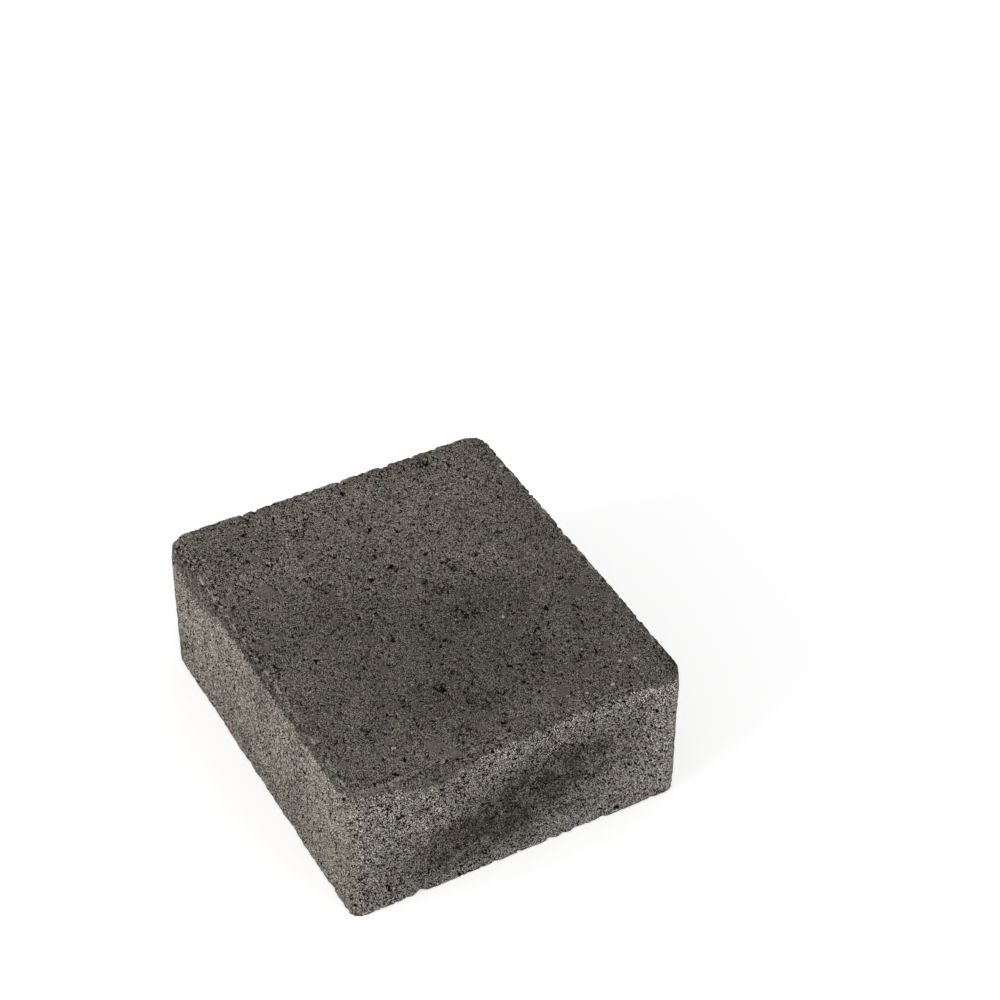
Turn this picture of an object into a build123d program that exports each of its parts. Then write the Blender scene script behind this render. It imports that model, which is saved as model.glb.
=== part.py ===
from build123d import *
import os
from math import cos, pi, radians, sin

# Concrete paver, cast in one piece: a plain oblong block whose upright corners are
# rounded, whose top arris is worn to an uneven round and whose bed edge is crumbled.
# It lies on its bed face.
# X runs along the length, Y across the width, Z up from the bed to the wearing face.

# Driving dimensions, in millimetres
LENGTH = 200.0
WIDTH = 175.0
THICKNESS = 80.0
FACE_CORNER_RADIUS = 3.0  # plan radius at the corners of the wearing face
ARRIS_WIDTH = 4.5  # mean set-back of the wearing face from the sides
ARRIS_DEPTH = 4.0  # how far the worn arris reaches down the sides
ARRIS_WANDER = 1.4  # most that the arris's inner line strays from its mean
CRUMBLE_WIDTH = 1.4  # mean set-back of the bed face from the sides
CRUMBLE_HEIGHT = 4.0  # how far the crumbled edge reaches up the sides
CRUMBLE_WANDER = 1.2  # most that the crumbled edge strays from its mean

# The wear along each side, in order: front, right, back and left. Each side has its
# own number of waves and its own phase, so that no two sides look alike.
ARRIS_WAVES = (1.5, 2.0, 2.5, 1.0)
CRUMBLE_WAVES = (8.5, 7.0, 7.5, 6.5)
SIDE_PHASES = (20.0, 200.0, 110.0, 290.0)
POINTS_PER_WAVE = 4
ARRIS_SECTIONS = 5
CRUMBLE_SECTIONS = 3

block_corner_radius = FACE_CORNER_RADIUS + ARRIS_WIDTH
arris_foot = THICKNESS - ARRIS_DEPTH


def worn_side(start, end, inward, width, wander, waves, phase):
    """One side of the outline, set back by a width that strays in waves, but not at its ends."""
    points = []
    steps = round(POINTS_PER_WAVE * (waves + 1))
    for step in range(steps + 1):
        along = step / steps
        stray = wander * sin(pi * along) ** 2 * sin(2 * pi * waves * along + radians(phase))
        points.append(start + (end - start) * along + inward * (width + stray))
    direction = (end - start).normalized()
    return Spline(*points, tangents=(direction, direction))


def outline(width, wander, side_waves, height):
    """Plan of the block at one height, its sides set back by a width that strays."""
    half_straight_x = LENGTH / 2 - block_corner_radius
    half_straight_y = WIDTH / 2 - block_corner_radius
    sides = (
        (Vector(-half_straight_x, -WIDTH / 2), Vector(half_straight_x, -WIDTH / 2), Vector(0, 1)),
        (Vector(LENGTH / 2, -half_straight_y), Vector(LENGTH / 2, half_straight_y), Vector(-1, 0)),
        (Vector(half_straight_x, WIDTH / 2), Vector(-half_straight_x, WIDTH / 2), Vector(0, -1)),
        (Vector(-LENGTH / 2, half_straight_y), Vector(-LENGTH / 2, -half_straight_y), Vector(1, 0)),
    )
    edges = []
    for (start, end, inward), waves, phase in zip(sides, side_waves, SIDE_PHASES):
        edges.append(worn_side(start, end, inward, width, wander, waves, phase))
    corners = []
    for side, following in zip(edges, edges[1:] + edges[:1]):
        corners.append(TangentArc(side @ 1, following @ 0, tangent=side % 1))
    loop = [edge for pair in zip(edges, corners) for edge in pair]
    return Pos(0, 0, height) * make_face(Wire(loop))


def rim_sections(turns, foot, reach, width, wander, side_waves):
    """Outlines of a rim that rounds off from its full plan at the foot, up or down by its reach."""
    sections = []
    for turn in turns:
        share = 1 - cos(turn)
        sections.append(outline(share * width, share * wander, side_waves, foot + reach * sin(turn)))
    return sections


def straight_body():
    """The block between its two worn rims."""
    plan = RectangleRounded(LENGTH, WIDTH, block_corner_radius)
    return Pos(0, 0, CRUMBLE_HEIGHT) * extrude(plan, arris_foot - CRUMBLE_HEIGHT)


def worn_arris():
    """The uneven round from the sides up to the wearing face."""
    turns = [pi / 2 * step / (ARRIS_SECTIONS - 1) for step in range(ARRIS_SECTIONS)]
    sections = rim_sections(turns, arris_foot, ARRIS_DEPTH, ARRIS_WIDTH, ARRIS_WANDER, ARRIS_WAVES)
    return loft(sections)


def crumbled_edge():
    """The ragged, faceted edge from the sides down to the bed face."""
    turns = [pi / 2 * step / (CRUMBLE_SECTIONS - 1) for step in range(CRUMBLE_SECTIONS)]
    sections = rim_sections(
        turns, CRUMBLE_HEIGHT, -CRUMBLE_HEIGHT, CRUMBLE_WIDTH, CRUMBLE_WANDER, CRUMBLE_WAVES
    )
    return loft(sections, ruled=True)


paver = straight_body() + worn_arris() + crumbled_edge()

os.makedirs("parts", exist_ok=True)
export_step(paver, "parts/paver.step")
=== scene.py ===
from math import cos, pi, radians, sin
from types import SimpleNamespace

import bpy
from mathutils import Matrix, Vector


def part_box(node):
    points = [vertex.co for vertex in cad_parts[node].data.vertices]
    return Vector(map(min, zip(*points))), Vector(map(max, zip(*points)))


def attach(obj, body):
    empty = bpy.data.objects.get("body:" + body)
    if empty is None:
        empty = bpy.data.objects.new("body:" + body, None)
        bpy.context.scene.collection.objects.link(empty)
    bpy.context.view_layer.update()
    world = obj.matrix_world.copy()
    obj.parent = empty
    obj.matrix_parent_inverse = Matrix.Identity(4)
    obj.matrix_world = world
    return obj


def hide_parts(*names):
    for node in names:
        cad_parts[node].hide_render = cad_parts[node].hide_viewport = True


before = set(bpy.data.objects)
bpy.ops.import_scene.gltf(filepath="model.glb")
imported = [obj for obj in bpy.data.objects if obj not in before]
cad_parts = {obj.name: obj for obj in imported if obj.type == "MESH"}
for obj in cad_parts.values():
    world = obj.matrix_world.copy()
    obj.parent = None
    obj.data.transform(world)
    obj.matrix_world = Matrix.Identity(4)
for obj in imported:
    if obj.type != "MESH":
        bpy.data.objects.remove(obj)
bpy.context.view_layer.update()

# The block. Lengths are in millimetres here, and in metres in the scene.
MM = 0.001
PAVER_LOW, PAVER_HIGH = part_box("paver")
LENGTH, WIDTH, THICKNESS = [extent / MM for extent in Vector(PAVER_HIGH) - Vector(PAVER_LOW)]
CORNER_RADIUS = 7.5  # of the upright corners
ARRIS_WIDTH = 4.3  # of the round along the top rim
BED_EDGE = 0.3  # radius of the edge round the bed, before it is nicked
MESH_STEP = 1.03  # between the points that carry the relief
TOLERANCE = 0.01
REST_PLACE = "rest_place"  # the attribute that keeps each point's place before the relief

# Marks on the wearing face: x, y and reach
TORN_SPOTS = (
    (-5, 14, 9), (17, 16, 11), (48, 34, 10), (47, 56, 7),
    (61, 30, 7), (58, -19, 8), (73, -7, 8), (86, -23, 7),
)
SLICK_SPOTS = ((88, -38, 5), (-58, 82, 5), (30, 70, 6), (-41, -61, 6), (84, 29, 5), (95, -33, 4))

# Pale grains of sand on the wearing face: x and y
PALE_GRAINS = (
    (-70, -36), (-75, -78), (-65, 44), (-69, 83), (92, 52),
    (28, 30), (80, -55), (82, 70), (80, 63), (91, 39),
)
GRAIN_REACH = 1.2

# Holes in the front side: x, z and reach
SIDE_HOLES = ((46, 25.5, 1.9), (4, 10.5, 1.4), (-22, 40, 1.3), (71, 58, 1.2))

# Clouds on the wearing face: x, y and half their sizes along X and Y
PALE_CLOUD = (-50, 12, 56, 66)
DARK_CLOUD = (30, -6, 62, 58)

# Places along the arris where the dark skin hangs down the sides: x, y, reach along the side and depth
HANGING_SKIN = ((-67, -87, 34, 11), (100, -45, 34, 8), (100, -4, 34, 4), (100, 80, 24, 2))

# The hem of the dark skin, first along three sides and then at the +X end
HEM_REACH = (5.2, 2.6)  # over the arris
HEM_SLOW_WANDER = (0.6, 1.0)
HEM_QUICK_WANDER = (0.55, 0.85)
HEM_FADE = 0.8
HANGING_FADE = 0.4  # added for each millimetre that the skin hangs lower

# The smooth lip of cement paste beside the front corner: x, y and reach
PASTE_LIP = (98, -72, 15)

# Dark stains on the face at the +X end: y, z, tilt in degrees, half length and breadth, and darkness
STAINS = ((0, 35, 15, 65, 21, 1.4), (-20, 64, 3, 60, 13, 0.3))

# View of the photograph
VIEW_AZIMUTH = 60.34
VIEW_ELEVATION = 40.68
VIEW_ROLL = 0.89
VIEW_LENS = 94.12
VIEW_AIM = Vector((-86.39, 92.45, 40.0)) * MM
VIEW_DISTANCE = 1359.3 * MM


# Node helpers, for geometry and shader trees alike

def feed(tree, value, socket):
    """Links a socket to another node's output, or sets it to a plain value."""
    if isinstance(value, bpy.types.NodeSocket):
        tree.links.new(value, socket)
    else:
        socket.default_value = value


def maths(tree, operation, *values):
    node = tree.nodes.new("ShaderNodeMath")
    node.operation = operation
    for value, socket in zip(values, node.inputs):
        feed(tree, value, socket)
    return node.outputs[0]


def chained(tree, operation, values):
    """One value worked out of many, each joined to the result so far."""
    result = values[0]
    for value in values[1:]:
        result = maths(tree, operation, result, value)
    return result


def total(tree, *values):
    return chained(tree, "ADD", values)


def product(tree, *values):
    return chained(tree, "MULTIPLY", values)


def largest(tree, *values):
    return chained(tree, "MAXIMUM", values)


def without(tree, share):
    """What a share leaves of 1."""
    return maths(tree, "SUBTRACT", 1.0, share)


def vectors(tree, operation, *values):
    node = tree.nodes.new("ShaderNodeVectorMath")
    node.operation = operation
    for value, socket in zip(values, node.inputs):
        feed(tree, value, socket)
    plain_number = operation in ("LENGTH", "DISTANCE", "DOT_PRODUCT")
    return node.outputs["Value" if plain_number else "Vector"]


def scaled(tree, vector, factor):
    node = tree.nodes.new("ShaderNodeVectorMath")
    node.operation = "SCALE"
    feed(tree, vector, node.inputs[0])
    feed(tree, factor, node.inputs["Scale"])
    return node.outputs["Vector"]


def parts_of(tree, vector):
    node = tree.nodes.new("ShaderNodeSeparateXYZ")
    tree.links.new(vector, node.inputs[0])
    return node.outputs


def ramp(tree, value, start, end, low=0.0, high=1.0):
    """A smooth step from low, where the value is at start, to high, where it is at end."""
    node = tree.nodes.new("ShaderNodeMapRange")
    node.interpolation_type = "SMOOTHSTEP"
    for number, socket in zip((value, start, end, low, high), node.inputs):
        feed(tree, number, socket)
    return node.outputs[0]


def between(tree, share, low, high):
    """A smooth step from low, where the share is 0, to high, where it is 1."""
    return ramp(tree, share, 0.0, 1.0, low, high)


# The noise's mean, and its standard deviation at each level of detail
NOISE_MEAN = 0.5
NOISE_SPREAD = {0: 0.1325, 1: 0.0988, 2: 0.0866, 3: 0.0800}


def noise_node(tree, place, cell, detail, shift):
    node = tree.nodes.new("ShaderNodeTexNoise")
    node.inputs["Scale"].default_value = 1 / cell
    node.inputs["Detail"].default_value = detail
    node.inputs["Roughness"].default_value = 0.5
    if shift:
        place = vectors(tree, "ADD", place, (shift, -shift, shift))
    tree.links.new(place, node.inputs["Vector"])
    return node


def noise(tree, place, cell, detail=1, shift=0.0):
    """Noise of mean 0 and spread 1, in spots about a cell across. A shift sets it apart from others."""
    cloudy = noise_node(tree, place, cell, detail, shift).outputs[0]
    return maths(tree, "DIVIDE", maths(tree, "SUBTRACT", cloudy, NOISE_MEAN), NOISE_SPREAD[detail])


def ragged(tree, place, cell, reach, shift):
    """The place, moved about by noise, which breaks up the edge of whatever is drawn on it."""
    colour = noise_node(tree, place, cell, 2, shift).outputs[1]
    centred = vectors(tree, "SUBTRACT", colour, (NOISE_MEAN, NOISE_MEAN, NOISE_MEAN))
    return vectors(tree, "ADD", place, scaled(tree, centred, reach))


def mixed(tree, factor, first, second):
    """A value between two values."""
    node = tree.nodes.new("ShaderNodeMix")
    feed(tree, factor, node.inputs[0])
    feed(tree, first, node.inputs[2])
    feed(tree, second, node.inputs[3])
    return node.outputs[0]


def tinted(tree, factor, first, second):
    """A colour between two colours."""
    node = tree.nodes.new("ShaderNodeMix")
    node.data_type = "RGBA"
    feed(tree, factor, node.inputs[0])
    feed(tree, first, node.inputs[6])
    feed(tree, second, node.inputs[7])
    return node.outputs[2]


# Fields that the relief and the colours share, for a place in millimetres

ZERO = (0.0, 0.0, 0.0)
ENDLESS = 1e6
HALF_CORE = (LENGTH / 2 - CORNER_RADIUS, WIDTH / 2 - CORNER_RADIUS, ENDLESS)


def past_core(tree, place):
    """How far a place lies past the core that the rounded corners are struck round, along X and Y."""
    return vectors(tree, "SUBTRACT", vectors(tree, "ABSOLUTE", place), HALF_CORE)


def inset_from_sides(tree, place):
    """How far a place lies inside the block's outline in plan, round its corners too."""
    past = past_core(tree, place)
    outside = vectors(tree, "LENGTH", vectors(tree, "MAXIMUM", past, ZERO))
    x, y, _ = parts_of(tree, past)
    inside = maths(tree, "MINIMUM", maths(tree, "MAXIMUM", x, y), 0.0)
    return maths(tree, "SUBTRACT", CORNER_RADIUS, maths(tree, "ADD", outside, inside))


def outward(tree, place):
    """The level direction out of the nearest side, for a place near the sides."""
    past = vectors(tree, "MAXIMUM", past_core(tree, place), ZERO)
    return vectors(tree, "NORMALIZE", vectors(tree, "MULTIPLY", past, vectors(tree, "SIGN", place)))


def patch(tree, place, middle, reach, core, height=1.0):
    """The height within a core, a share of the reach round a middle, fading to 0 at the reach."""
    away = vectors(tree, "DISTANCE", place, middle)
    return ramp(tree, away, reach, reach * core, 0.0, height)


def spots(tree, place, marks):
    """1 at each mark on the wearing face, fading to 0 at its reach."""
    masks = [patch(tree, place, (x, y, THICKNESS), reach, core=0.4) for x, y, reach in marks]
    return largest(tree, *masks)


def side_holes(tree, place):
    """1 in each of the holes in the front side."""
    frayed = ragged(tree, place, cell=1.6, reach=2.0, shift=17.0)
    masks = [patch(tree, frayed, (x, -WIDTH / 2, z), reach, core=0.6) for x, z, reach in SIDE_HOLES]
    return largest(tree, *masks)


def hanging(tree, place):
    """How much further the skin of the wearing face hangs down the sides, in millimetres."""
    plan = vectors(tree, "MULTIPLY", place, (1.0, 1.0, 0.0))
    depths = []
    for x, y, reach, depth in HANGING_SKIN:
        depths.append(patch(tree, plan, (x, y, 0.0), reach, core=0.0, height=depth))
    return total(tree, *depths)


def crevices(tree, place, cell, breadth, shift):
    """1 along thin, winding gaps that part grains about a cell across."""
    across = maths(tree, "ABSOLUTE", noise(tree, place, cell, shift=shift))
    return ramp(tree, across, breadth, product(tree, breadth, 0.5))


def hem_wander(tree, place, at):
    """How far the hem of the dark skin strays from its mean, in millimetres."""
    slow = noise(tree, place, 18.0, shift=15.0)
    quick = noise(tree, place, 3.2, detail=2, shift=19.0)
    slow_wander = product(tree, slow, between(tree, at.end_rim, *HEM_SLOW_WANDER))
    quick_wander = product(tree, quick, between(tree, at.end_rim, *HEM_QUICK_WANDER))
    return total(tree, slow_wander, quick_wander)


def dark_skin(tree, place, at):
    """1 on the skin of the wearing face, down to its hem on the sides, softer where it hangs low."""
    hung = hanging(tree, place)
    hem = total(tree, between(tree, at.end_rim, *HEM_REACH), hung, at.wander)
    fade = maths(tree, "MULTIPLY_ADD", hung, HANGING_FADE, HEM_FADE)
    below_hem = maths(tree, "SUBTRACT", at.over_arris, hem)
    return ramp(tree, below_hem, fade, product(tree, fade, -0.8))


def shaded_arris_band(tree, at):
    """1 on the skin that lies over the arris, fainter at the +X end. It is darkened there as painted
    shade below the ridge.
    """
    over_rim = ramp(tree, at.over_arris, -2.0, 0.5)
    return product(tree, at.skin, over_rim, between(tree, at.end_rim, 1.0, 0.25))


def lip_stretch(tree, place):
    """1 along the stretch of arris beside the front corner that has the lip."""
    x, y, reach = PASTE_LIP
    frayed = ragged(tree, place, cell=7.0, reach=6.0, shift=51.0)
    return patch(tree, frayed, (x, y, THICKNESS), reach, core=0.6)


def paste_lip(tree, place, at):
    """1 on the smooth pale lip."""
    strip = product(tree, ramp(tree, at.inset, 3.2, 1.8), ramp(tree, at.below_top, 3.2, 1.6))
    broken = ramp(tree, noise(tree, place, 2.6, detail=2, shift=59.0), -1.0, 0.4, 0.2, 0.85)
    return product(tree, at.lip_stretch, strip, broken)


def arris_ridge(tree, place, at):
    """1 along the broken, narrow ridge of paste near the edge of the wearing face, which is raised in
    the relief and painted paler as a highlight.
    """
    crest = maths(tree, "ADD", at.inset, product(tree, at.wander, 0.3))
    line = ramp(tree, maths(tree, "ABSOLUTE", maths(tree, "SUBTRACT", crest, 2.8)), 0.8, 0.2)
    kept = ramp(tree, noise(tree, place, 6.0, detail=2, shift=83.0), -0.1, 1.0)
    kept = largest(tree, kept, at.lip_stretch)
    return product(tree, line, kept, ramp(tree, at.below_top, 3.0, 1.5))


def slick_skin(tree, place, at):
    """1 where cement paste closed the surface smoothly."""
    placed = spots(tree, ragged(tree, place, cell=4.0, reach=5.0, shift=45.0), SLICK_SPOTS)
    scattered = ramp(tree, noise(tree, place, 5.5, shift=93.0), 1.6, 1.8)
    return product(tree, largest(tree, placed, scattered), at.on_top)


def torn_lines(tree, place, at):
    """1 along the short tears where the skin was dragged as the mould was lifted."""
    across = maths(tree, "ABSOLUTE", noise(tree, place, 4.0, detail=2, shift=31.0))
    lines = ramp(tree, across, 0.36, 0.2)
    placed = spots(tree, ragged(tree, place, cell=6.0, reach=9.0, shift=71.0), TORN_SPOTS)
    scattered = ramp(tree, noise(tree, place, 22.0, shift=57.0), 1.7, 2.0)
    return product(tree, lines, largest(tree, placed, scattered), at.on_top)


def surface_fields(tree, place):
    """Distances and masks that tell the parts of the surface from one another."""
    at = SimpleNamespace()
    x, _, at.above_bed = parts_of(tree, place)
    at.inset = inset_from_sides(tree, place)
    at.below_top = maths(tree, "SUBTRACT", THICKNESS, at.above_bed)
    at.over_arris = maths(tree, "SUBTRACT", at.below_top, at.inset)
    at.on_top = ramp(tree, at.over_arris, 3.0, 0.0)
    at.end_face = ramp(tree, x, LENGTH / 2 - 2.5, LENGTH / 2 - 0.2)
    at.end_rim = ramp(tree, x, LENGTH / 2 - 12, LENGTH / 2 - 6)

    at.wander = hem_wander(tree, place, at)
    at.skin = dark_skin(tree, place, at)
    at.band = shaded_arris_band(tree, at)
    at.lip_stretch = lip_stretch(tree, place)
    at.lip = paste_lip(tree, place, at)
    at.ridge = arris_ridge(tree, place, at)

    closed = largest(tree, slick_skin(tree, place, at), product(tree, at.band, 0.25), at.ridge, at.lip)
    at.open_pores = without(tree, closed)
    at.pits = product(tree, ramp(tree, noise(tree, place, 1.7, detail=2), -1.6, -1.8), at.open_pores)
    chance_holes = ramp(tree, noise(tree, place, 3.6, detail=3, shift=27.0), -1.95, -2.15)
    at.holes = largest(tree, product(tree, chance_holes, at.open_pores), side_holes(tree, place))
    at.torn = torn_lines(tree, place, at)
    return at


# The block

def cast_block():
    """A block at the paver's size, its corners, arris and bed edge rounded, in an even fine mesh."""
    bpy.ops.object.select_all(action="DESELECT")
    size = Vector(PAVER_HIGH) - Vector(PAVER_LOW)
    middle = (Vector(PAVER_LOW) + Vector(PAVER_HIGH)) / 2
    bpy.ops.mesh.primitive_cube_add(size=1.0, location=middle, scale=size)
    block = bpy.context.object
    block.name = "paver_concrete"
    bpy.ops.object.transform_apply(location=True, rotation=True, scale=True)
    round_edges(block, is_upright, CORNER_RADIUS, segments=6)
    round_edges(block, is_top_rim, ARRIS_WIDTH, segments=5)
    round_edges(block, is_bed_rim, BED_EDGE, segments=2)
    apply_modifier(block, "REMESH", mode="VOXEL", voxel_size=MESH_STEP * MM)
    thin_bed(block)
    return block


def is_upright(first, second):
    return abs(first.z - second.z) > THICKNESS * MM / 2


def is_top_rim(first, second):
    return min(first.z, second.z) > (THICKNESS - TOLERANCE) * MM


def is_bed_rim(first, second):
    return max(first.z, second.z) < TOLERANCE * MM


def deselect_mesh(select_mode):
    bpy.ops.object.mode_set(mode="EDIT")
    bpy.ops.mesh.select_mode(type=select_mode)
    bpy.ops.mesh.select_all(action="DESELECT")
    bpy.ops.object.mode_set(mode="OBJECT")


def round_edges(block, wanted, radius, segments):
    deselect_mesh("EDGE")
    for edge in block.data.edges:
        first, second = [block.data.vertices[index].co for index in edge.vertices]
        edge.select = wanted(first, second)
    bpy.ops.object.mode_set(mode="EDIT")
    bpy.ops.mesh.bevel(offset=radius * MM, segments=segments, profile=0.5, affect="EDGES")
    bpy.ops.object.mode_set(mode="OBJECT")


def apply_modifier(block, kind, **settings):
    bpy.ops.object.modifier_add(type=kind)
    modifier = block.modifiers[-1]
    for name, value in settings.items():
        setattr(modifier, name, value)
    bpy.ops.object.modifier_apply(modifier=modifier.name)


def thin_bed(block):
    """Fewer faces on the bed, which is flat and lies on the floor."""
    margin = 6.0
    bed_height = 0.5
    deselect_mesh("FACE")
    for face in block.data.polygons:
        inside_x = abs(face.center.x) < (LENGTH / 2 - margin) * MM
        inside_y = abs(face.center.y) < (WIDTH / 2 - margin) * MM
        face.select = face.center.z < bed_height * MM and inside_x and inside_y
    bpy.ops.object.mode_set(mode="EDIT")
    bpy.ops.mesh.unsubdivide(iterations=4)
    bpy.ops.object.mode_set(mode="OBJECT")


# Weathered relief, as heights and depths from the plain block

MEAN_DEPTH = 0.3
SWELL_HEIGHT = 0.09
LUMP_HEIGHT = (0.05, 0.09)  # on the sides, on the skin
SIDE_GRAIN_HEIGHT = (0.13, 0.18)  # on three sides, at the +X end
SKIN_GRAIN_HEIGHT = 0.14
RIDGE_HEIGHT = 0.35
PIT_DEPTH = 0.9
HOLE_DEPTH = 1.5
TEAR_DEPTH = 1.2
ARRIS_LOSS = 1.5
CORNER_WEAR = 0.9

# How far the edge round the bed is broken in
WIDE_NICK = 1.3
FRONT_SHARE = 0.4  # what the front keeps of the wide nicks
NOTCH = 0.9
SMALL_NICK = 1.0


def raised_grain(tree, place, at):
    """Swelling faces, lumps and grains, about a mean of 0."""
    swell = product(tree, noise(tree, place, 55.0, shift=11.0), SWELL_HEIGHT)
    lump_height = between(tree, at.skin, *LUMP_HEIGHT)
    lumps = product(tree, noise(tree, place, 8.0, detail=2, shift=23.0), lump_height)
    side_height = between(tree, at.end_face, *SIDE_GRAIN_HEIGHT)
    grain_height = mixed(tree, at.skin, side_height, SKIN_GRAIN_HEIGHT)
    grains = product(tree, noise(tree, place, 2.4, shift=5.0), at.open_pores, grain_height)
    return total(tree, swell, lumps, grains)


def arris_losses(tree, place, at):
    """What is lost along the top rim and at its corners, as a negative height."""
    near_arris = ramp(tree, maths(tree, "MAXIMUM", at.inset, at.below_top), 7.0, 2.5)
    crumbled = ramp(tree, noise(tree, place, 3.6, detail=2, shift=41.0), -0.2, 2.0)
    along_rim = product(tree, crumbled, near_arris, -ARRIS_LOSS)
    past_x, past_y, _ = parts_of(tree, past_core(tree, place))
    near_corner = ramp(tree, maths(tree, "MINIMUM", past_x, past_y), -3.0, 3.0)
    at_corners = product(tree, near_corner, ramp(tree, at.below_top, 12.0, 0.0), -CORNER_WEAR)
    return total(tree, along_rim, at_corners)


def relief_height(tree, place):
    """How far the surface stands from the plain block, in millimetres, never above it."""
    at = surface_fields(tree, place)
    ridge = product(tree, at.ridge, RIDGE_HEIGHT)
    pits = product(tree, at.pits, -PIT_DEPTH)
    holes = product(tree, at.holes, -HOLE_DEPTH)
    torn = product(tree, at.torn, -TEAR_DEPTH)
    grain = raised_grain(tree, place, at)
    losses = arris_losses(tree, place, at)
    height = total(tree, -MEAN_DEPTH, grain, pits, holes, torn, ridge, losses)
    height = maths(tree, "MINIMUM", height, 0.0)
    return product(tree, height, ramp(tree, at.above_bed, 0.2, 1.2))


def bed_nicks(tree, place):
    """How far the ragged edge round the bed is broken in from the sides, in millimetres."""
    inset = inset_from_sides(tree, place)
    _, y, above_bed = parts_of(tree, place)
    near_bed = product(tree, ramp(tree, inset, 6.0, 0.0), ramp(tree, above_bed, 8.0, 0.0))
    front_share = ramp(tree, y, -WIDTH / 2, -WIDTH / 2 + 6, FRONT_SHARE, 1.0)
    wide = ramp(tree, noise(tree, place, 16.0, detail=2, shift=67.0), 0.6, 2.4, 0.0, WIDE_NICK)
    notches = ramp(tree, noise(tree, place, 7.0, detail=2, shift=107.0), 0.9, 2.0, 0.0, NOTCH)
    small = ramp(tree, noise(tree, place, 3.4, detail=2, shift=97.0), 0.4, 2.0, 0.0, SMALL_NICK)
    return product(tree, total(tree, product(tree, wide, front_share), notches, small), near_bed)


def weathering():
    """Geometry nodes that press the relief into the block and keep each point's first place."""
    tree = bpy.data.node_groups.new("Weathered relief", "GeometryNodeTree")
    tree.interface.new_socket("Geometry", in_out="INPUT", socket_type="NodeSocketGeometry")
    tree.interface.new_socket("Geometry", in_out="OUTPUT", socket_type="NodeSocketGeometry")
    source = tree.nodes.new("NodeGroupInput")
    result = tree.nodes.new("NodeGroupOutput")
    position = tree.nodes.new("GeometryNodeInputPosition").outputs[0]
    normal = tree.nodes.new("GeometryNodeInputNormal").outputs[0]
    place = scaled(tree, position, 1 / MM)
    keep = tree.nodes.new("GeometryNodeStoreNamedAttribute")
    keep.data_type = "FLOAT_VECTOR"
    keep.domain = "POINT"
    keep.inputs["Name"].default_value = REST_PLACE
    move = tree.nodes.new("GeometryNodeSetPosition")
    relief = scaled(tree, normal, product(tree, relief_height(tree, place), MM))
    nicks = scaled(tree, outward(tree, place), product(tree, bed_nicks(tree, place), -MM))
    tree.links.new(source.outputs[0], keep.inputs["Geometry"])
    tree.links.new(place, keep.inputs["Value"])
    tree.links.new(keep.outputs[0], move.inputs["Geometry"])
    tree.links.new(vectors(tree, "ADD", relief, nicks), move.inputs["Offset"])
    tree.links.new(move.outputs[0], result.inputs[0])
    return tree


# Concrete

SKIN = (0.147, 0.135, 0.118, 1.0)
SIDE = (0.282, 0.257, 0.223, 1.0)
END_SIDE = (0.447, 0.422, 0.393, 1.0)
LIP = (0.250, 0.216, 0.180, 1.0)
# Near black: painted shade in pores, pits, holes, tears and the gaps between grains
PIT_SHADE = (0.006, 0.0055, 0.0048, 1.0)
SAND = (0.60, 0.56, 0.48, 1.0)
SAND_COVER = 0.85
ROUGHNESS = 0.92
SPECULAR_LEVEL = 0.1

# Tints, as factors of a colour
WHITE = (1.0, 1.0, 1.0, 1.0)
ROSY = (1.03, 0.982, 1.0, 1.0)
OLIVE = (0.983, 1.008, 0.957, 1.0)
BROWN = (1.03, 1.0, 0.96, 1.0)

# Factors of tone
FADED_END = 1.1  # at the -X end
# Painted shade near the floor: darker towards the bottom of the sides
FOOT_SHADE = 0.88
FAR_END = 1.16  # on the face at the +X end, toward +Y
PALE_CLOUD_TONE = 1.14
DARK_CLOUD_TONE = 0.78
# Painted shade on the skin over the arris, below the ridge
BAND_SHADE = 0.68
# Painted highlight along the ridge
RIDGE_HIGHLIGHT = (2.4, 1.8)  # along three sides, at the +X end
STAIN_MOTTLE = (0.72, 1.28)
STAIN_CORE_SHARE = 0.65
STAIN_RIM_SHARE = 0.35

# The fine grain. Pairs run from +X to -X on the wearing face, and from three sides to the +X end.
# Painted shade between the grains, on the wearing face and on the sides
TOP_GAP_SHADE = (0.8, 0.95)  # how dark the gaps between the grains are
SIDE_GAP_SHADE = (0.6, 1.0)
WIDEST_TOP_CRACK = (0.4, 0.58)
TOP_CONTRAST = (0.88, 1.02)
SIDE_CONTRAST = 1.6
TOP_BRIGHTEST = 1.0
SIDE_BRIGHTEST = (0.42, 0.46)
TOP_STEEPNESS = 0.45
SIDE_STEEPNESS = (0.6, 0.75)


def cloud(tree, place, marks):
    """1 in the middle of a soft cloud on the wearing face, fading to 0 at its edge."""
    x, y, half_x, half_y = marks
    frayed = ragged(tree, place, cell=26.0, reach=50.0, shift=29.0)
    offset = vectors(tree, "SUBTRACT", frayed, (x, y, THICKNESS))
    share = vectors(tree, "MULTIPLY", offset, (1 / half_x, 1 / half_y, 1 / THICKNESS))
    return ramp(tree, vectors(tree, "LENGTH", share), 1.15, 0.55)


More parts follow.
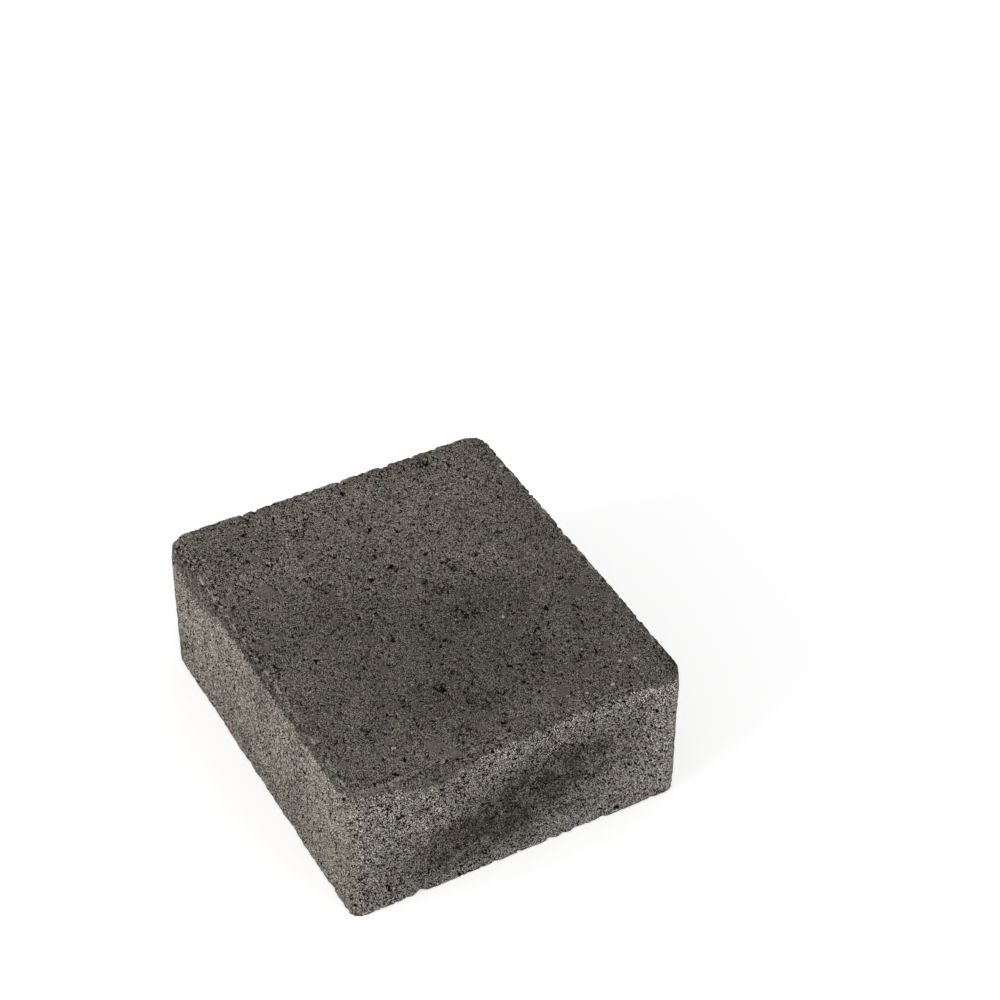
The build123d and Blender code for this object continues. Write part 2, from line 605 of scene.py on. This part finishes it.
def stained(tree, place):
    """How dark the mottled stains at the +X end are, each with a wide faint rim."""
    frayed = ragged(tree, place, cell=14.0, reach=16.0, shift=39.0)
    frayed = ragged(tree, frayed, cell=4.0, reach=5.0, shift=61.0)
    layers = []
    for y, z, tilt, length, breadth, darkness in STAINS:
        offset = vectors(tree, "SUBTRACT", frayed, (LENGTH / 2, y, z))
        rise, run = sin(radians(tilt)), cos(radians(tilt))
        along = vectors(tree, "DOT_PRODUCT", offset, (0.0, run / length, rise / length))
        across = vectors(tree, "DOT_PRODUCT", offset, (0.0, -rise / breadth, run / breadth))
        square = total(tree, product(tree, along, along), product(tree, across, across))
        away = maths(tree, "SQRT", square)
        layers.append(ramp(tree, away, 1.1, 0.3, 0.0, STAIN_CORE_SHARE * darkness))
        layers.append(ramp(tree, away, 1.6, 0.8, 0.0, STAIN_RIM_SHARE * darkness))
    mottled = ramp(tree, noise(tree, place, 7.0, detail=2, shift=79.0), -2.0, 2.0, *STAIN_MOTTLE)
    return product(tree, total(tree, *layers), mottled)


def broad_tone(tree, place, at, stain_depth):
    """Slow changes of tone over the block, as a factor about 1."""
    x, y, z = parts_of(tree, place)
    faded_end = ramp(tree, x, -LENGTH / 2, 5.0, FADED_END, 1.0)
    # Painted shade, darker towards the bottom
    foot_shade = ramp(tree, z, 0.0, THICKNESS * 0.7, FOOT_SHADE, 1.0)
    far_share = product(tree, ramp(tree, y, 40.0, WIDTH / 2), at.end_face)
    far_end = between(tree, far_share, 1.0, FAR_END)
    clouds = product(tree, noise(tree, place, 34.0, detail=2, shift=77.0), 0.06)
    blotches = product(tree, noise(tree, place, 9.0, shift=33.0), 0.05)
    cloudy = maths(tree, "EXPONENT", maths(tree, "ADD", clouds, blotches))
    stain = maths(tree, "EXPONENT", product(tree, stain_depth, -1.0))
    pale_share = product(tree, cloud(tree, place, PALE_CLOUD), at.skin)
    pale_cloud = between(tree, pale_share, 1.0, PALE_CLOUD_TONE)
    dark_share = product(tree, cloud(tree, place, DARK_CLOUD), at.skin)
    dark_cloud = between(tree, dark_share, 1.0, DARK_CLOUD_TONE)
    # Painted shade on the band over the arris
    band = between(tree, at.band, 1.0, BAND_SHADE)
    # Painted highlight along the ridge
    ridge = between(tree, at.ridge, 1.0, between(tree, at.end_rim, *RIDGE_HIGHLIGHT))
    return product(
        tree, faded_end, foot_shade, far_end, cloudy, stain, pale_cloud, dark_cloud, band, ridge
    )


def shaded_grain_gaps(tree, place, at, grain):
    """Painted shade between the grains: how dark it is along winding cracks, and in small gaps in low
    grain.
    """
    widest = between(tree, grain.open_end, *WIDEST_TOP_CRACK)
    top_breadth = ramp(tree, grain.lumpy, 0.6, -2.0, 0.03, widest)
    side_breadth = ramp(tree, grain.lumpy, 1.4, -1.4, 0.22, 0.46)
    top_cracks = crevices(tree, place, cell=2.7, breadth=top_breadth, shift=35.0)
    side_cracks = crevices(tree, place, cell=1.9, breadth=side_breadth, shift=35.0)
    small_share = ramp(tree, grain.lumpy, 1.0, -1.0, product(tree, grain.on_side, 0.6), 1.0)
    small_gaps = product(tree, crevices(tree, place, cell=1.2, breadth=0.36, shift=53.0), small_share)
    top_gap_shade = largest(tree, top_cracks, small_gaps)
    top_gap_shade = product(tree, top_gap_shade, at.open_pores, between(tree, grain.open_end, *TOP_GAP_SHADE))
    side_gap_shade = largest(tree, side_cracks, small_gaps, ramp(tree, grain.clumps, -1.0, -1.5))
    side_gap_shade = product(tree, side_gap_shade, between(tree, at.end_face, *SIDE_GAP_SHADE))
    return mixed(tree, grain.on_side, top_gap_shade, side_gap_shade)


def grain_speckle(tree, at, grain):
    """The logarithm of the tone from grain to grain, with the brightest held back most on the sides."""
    cap = mixed(tree, grain.on_side, TOP_BRIGHTEST, between(tree, at.end_face, *SIDE_BRIGHTEST))
    capped = maths(tree, "SMOOTH_MIN", grain.fine, cap, 0.8)
    top_contrast = between(tree, grain.open_end, *TOP_CONTRAST)
    contrast = mixed(tree, grain.on_side, top_contrast, SIDE_CONTRAST)
    speckle = total(tree, product(tree, capped, contrast), product(tree, grain.lumpy, 0.05))
    return product(tree, speckle, between(tree, at.open_pores, 0.3, 1.0))


def fine_grain(tree, place, at):
    """The fine grain, for colour and bump: roughest at the +X end, and more open toward -X on top."""
    grain = SimpleNamespace()
    x, _, _ = parts_of(tree, place)
    grain.on_side = without(tree, at.skin)
    grain.open_end = ramp(tree, x, 60.0, -70.0)
    grain.fine = noise(tree, place, 0.55, detail=0, shift=9.0)
    grain.lumpy = noise(tree, place, 2.1, shift=21.0)
    coarse = noise(tree, place, 1.2, detail=0, shift=13.0)
    grain.clumps = total(tree, product(tree, grain.fine, 0.9), product(tree, coarse, 0.45))
    grain.gaps = shaded_grain_gaps(tree, place, at, grain)
    grain.speckle = grain_speckle(tree, at, grain)
    raised = ramp(tree, grain.clumps, -1.6, 0.6, 0.0, 0.3)
    grain.flats = maths(tree, "SUBTRACT", raised, product(tree, grain.gaps, 0.25))
    side_steepness = between(tree, at.end_face, *SIDE_STEEPNESS)
    grain.steepness = mixed(tree, grain.on_side, TOP_STEEPNESS, side_steepness)
    return grain


def concrete_hue(tree, place, stain_depth):
    """A tint that strays between rosy and olive, and is browner in the stains."""
    broad = noise(tree, place, 10.0, detail=2, shift=49.0)
    small = product(tree, noise(tree, place, 1.6, shift=43.0), 0.8)
    hue = tinted(tree, ramp(tree, total(tree, broad, small), -1.8, 1.8), ROSY, OLIVE)
    return vectors(tree, "MULTIPLY", hue, tinted(tree, stain_depth, WHITE, BROWN))


def sand_grains(tree, place):
    """1 on each pale grain of sand."""
    stray = ramp(tree, noise(tree, place, 1.1, detail=0, shift=87.0), 2.0, 2.4)
    marks = [(x, y, GRAIN_REACH) for x, y in PALE_GRAINS]
    placed = spots(tree, ragged(tree, place, cell=1.2, reach=2.0, shift=47.0), marks)
    return largest(tree, stray, placed)


def concrete_colour(tree, place, at, grain):
    stain_depth = product(tree, stained(tree, place), at.end_face)
    side = tinted(tree, at.end_face, SIDE, END_SIDE)
    colour = tinted(tree, at.lip, tinted(tree, at.skin, side, SKIN), LIP)
    speckle = maths(tree, "EXPONENT", grain.speckle)
    tone = product(tree, broad_tone(tree, place, at, stain_depth), speckle)
    hue = concrete_hue(tree, place, stain_depth)
    colour = vectors(tree, "MULTIPLY", scaled(tree, colour, tone), hue)
    # Painted shade: pores, pits, holes, tears and the gaps between grains are darkened towards near
    # black, for the shade that falls in them
    pores = product(tree, ramp(tree, grain.clumps, -1.4, -1.7), at.open_pores)
    dark = largest(tree, pores, at.pits, at.holes, at.torn, grain.gaps)
    colour = tinted(tree, dark, colour, PIT_SHADE)
    return tinted(tree, product(tree, sand_grains(tree, place), SAND_COVER), colour, SAND)


def concrete():
    material = bpy.data.materials.new("charcoal concrete")
    material.use_nodes = True
    tree = material.node_tree
    shader = tree.nodes["Principled BSDF"]
    shader.inputs["Roughness"].default_value = ROUGHNESS
    shader.inputs["Specular IOR Level"].default_value = SPECULAR_LEVEL
    kept = tree.nodes.new("ShaderNodeAttribute")
    kept.attribute_name = REST_PLACE
    place = kept.outputs["Vector"]
    at = surface_fields(tree, place)
    grain = fine_grain(tree, place, at)
    tree.links.new(concrete_colour(tree, place, at, grain), shader.inputs["Base Color"])

    bump = tree.nodes.new("ShaderNodeBump")
    bump.inputs["Distance"].default_value = MM
    tree.links.new(grain.flats, bump.inputs["Height"])
    tree.links.new(grain.steepness, bump.inputs["Strength"])
    tree.links.new(bump.outputs[0], shader.inputs["Normal"])
    return material


def make_paver():
    block = cast_block()
    apply_modifier(block, "NODES", node_group=weathering())
    bpy.ops.object.shade_smooth()
    block.data.materials.append(concrete())
    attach(block, "root")
    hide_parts("paver")
    return block


# Studio, in metres

FLOOR_SIZE = 8.0
FLOOR_PAINT = (0.85, 0.85, 0.85, 1.0)
FLOOR_GLOW = 0.55  # what lifts the floor to white for the camera
WORLD_LIGHT = 0.42


def camera_sees(tree):
    """1 for the rays that show the floor or the world as the background."""
    path = tree.nodes.new("ShaderNodeLightPath")
    return largest(tree, path.outputs["Is Camera Ray"], path.outputs["Is Glossy Ray"],
                   path.outputs["Is Transmission Ray"])


def white_floor():
    bpy.ops.object.select_all(action="DESELECT")
    bpy.ops.mesh.primitive_plane_add(size=FLOOR_SIZE, location=(0, 0, 0))
    floor = bpy.context.object
    floor.name = "floor"
    material = bpy.data.materials.new("white floor")
    material.use_nodes = True
    tree = material.node_tree
    tree.nodes.clear()
    paint = tree.nodes.new("ShaderNodeBsdfDiffuse")
    paint.inputs["Color"].default_value = FLOOR_PAINT
    glow = tree.nodes.new("ShaderNodeEmission")
    tree.links.new(product(tree, camera_sees(tree), FLOOR_GLOW), glow.inputs["Strength"])
    both = tree.nodes.new("ShaderNodeAddShader")
    out = tree.nodes.new("ShaderNodeOutputMaterial")
    tree.links.new(paint.outputs[0], both.inputs[0])
    tree.links.new(glow.outputs[0], both.inputs[1])
    tree.links.new(both.outputs[0], out.inputs["Surface"])
    floor.data.materials.append(material)


def white_world():
    world = bpy.data.worlds.new("studio")
    bpy.context.scene.world = world
    world.use_nodes = True
    tree = world.node_tree
    sky = tree.nodes["Background"]
    sky.inputs["Color"].default_value = WHITE
    tree.links.new(between(tree, camera_sees(tree), WORLD_LIGHT, 1.0), sky.inputs["Strength"])


def facing(azimuth, elevation):
    """The turn of a camera or lamp that looks back from an azimuth and an elevation, in degrees."""
    level = Matrix.Rotation(radians(azimuth), 4, "Z")
    return level @ Matrix.Rotation(pi / 2 - radians(elevation), 4, "X")


def soft_box(name, azimuth, elevation, distance, size, power):
    """An area lamp that faces the paver."""
    bpy.ops.object.light_add(type="AREA")
    lamp = bpy.context.object
    lamp.name = name
    lamp.data.size = size
    lamp.data.energy = power
    lamp.matrix_world = facing(azimuth, elevation) @ Matrix.Translation((0, 0, distance))


def photo_camera():
    data = bpy.data.cameras.new("camera")
    data.lens = VIEW_LENS
    camera = bpy.data.objects.new("camera", data)
    bpy.context.collection.objects.link(camera)
    turn = facing(VIEW_AZIMUTH, VIEW_ELEVATION) @ Matrix.Rotation(radians(VIEW_ROLL), 4, "Z")
    camera.matrix_world = Matrix.Translation(VIEW_AIM) @ turn @ Matrix.Translation((0, 0, VIEW_DISTANCE))
    bpy.context.scene.camera = camera


make_paver()
white_floor()
white_world()
soft_box("key soft box", azimuth=5.0, elevation=20.0, distance=1.6, size=1.0, power=13.0)
soft_box("fill soft box", azimuth=125.0, elevation=25.0, distance=1.8, size=1.4, power=8.5)
photo_camera()
bpy.context.scene.view_settings.view_transform = "Standard"
